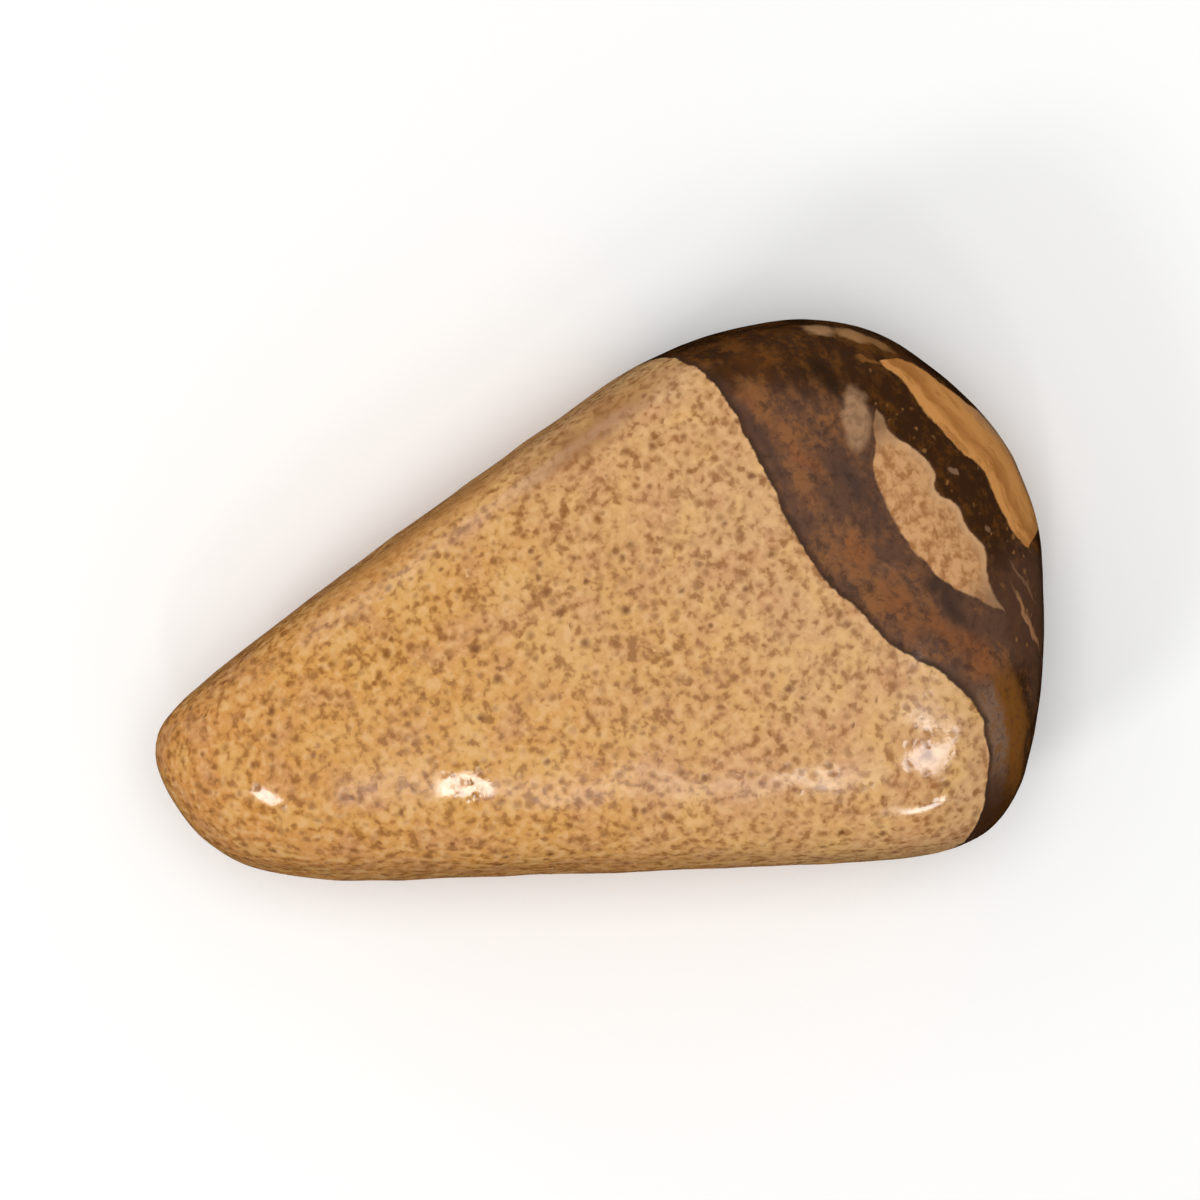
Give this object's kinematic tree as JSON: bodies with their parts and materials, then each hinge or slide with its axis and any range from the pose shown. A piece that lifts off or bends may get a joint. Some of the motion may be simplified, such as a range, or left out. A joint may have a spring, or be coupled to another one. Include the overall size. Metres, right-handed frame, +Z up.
{
  "type": "tumbled picture jasper stone",
  "caption": "Tumbled picture jasper pebble, a rounded triangle in plan, high polish, speckled sandy tan with a dark brown banded end; rests on a small flat spot.",
  "frame": {"origin": "on the surface that the stone rests on, below the middle of the stone's box", "axes": "+X along the length, from the narrow sandy tip to the thick banded end; +Y across the width, towards the banded shoulder; +Z up from the resting spot to the broad top face"},
  "size_m": [0.036, 0.0228, 0.0138],
  "materials": {
    "jasper": "polished"
  },
  "bodies": {
    "root": {"stone": "jasper"}
  },
  "joints": []
}
